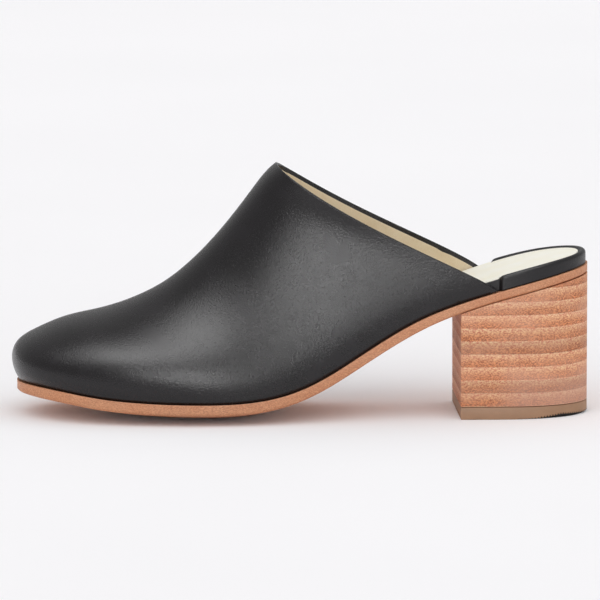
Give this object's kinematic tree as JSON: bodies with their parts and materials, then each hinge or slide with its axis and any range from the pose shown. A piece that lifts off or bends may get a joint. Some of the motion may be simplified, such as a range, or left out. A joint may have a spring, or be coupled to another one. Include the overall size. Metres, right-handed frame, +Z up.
{
  "type": "mule shoe",
  "caption": "Closed-toe leather mule, left foot, open back, with a leather sole, wrapped insole and a stacked leather block heel on a rubber top piece.",
  "frame": {"origin": "bottom centre of the shoe's bounding box, on the floor", "axes": "the toe points to -X and the heel to +X, the outer side of the foot to -Y and the inner side to +Y, +Z up"},
  "size_m": [0.2401, 0.0814, 0.105],
  "materials": {
    "upper_leather": "smooth black calf leather, semi-matt with a soft broad sheen",
    "lining_leather": "undyed tan lining leather, matt",
    "sock_leather": "smooth cream sock leather, matt",
    "insole_leather": "black leather wrapped round the insole board, semi-matt",
    "sole_leather": "natural vegetable-tanned sole leather with a sanded and waxed edge",
    "stacked_leather": "stacked leather lifts, sanded and waxed, showing the layers",
    "lift_rubber": "tan rubber, matt, with a finely ribbed lower edge"
  },
  "bodies": {
    "root": {"upper": "upper_leather", "outsole": "sole_leather", "insole": "insole_leather", "heel_stack": "stacked_leather", "top_lift": "lift_rubber"}
  },
  "joints": []
}
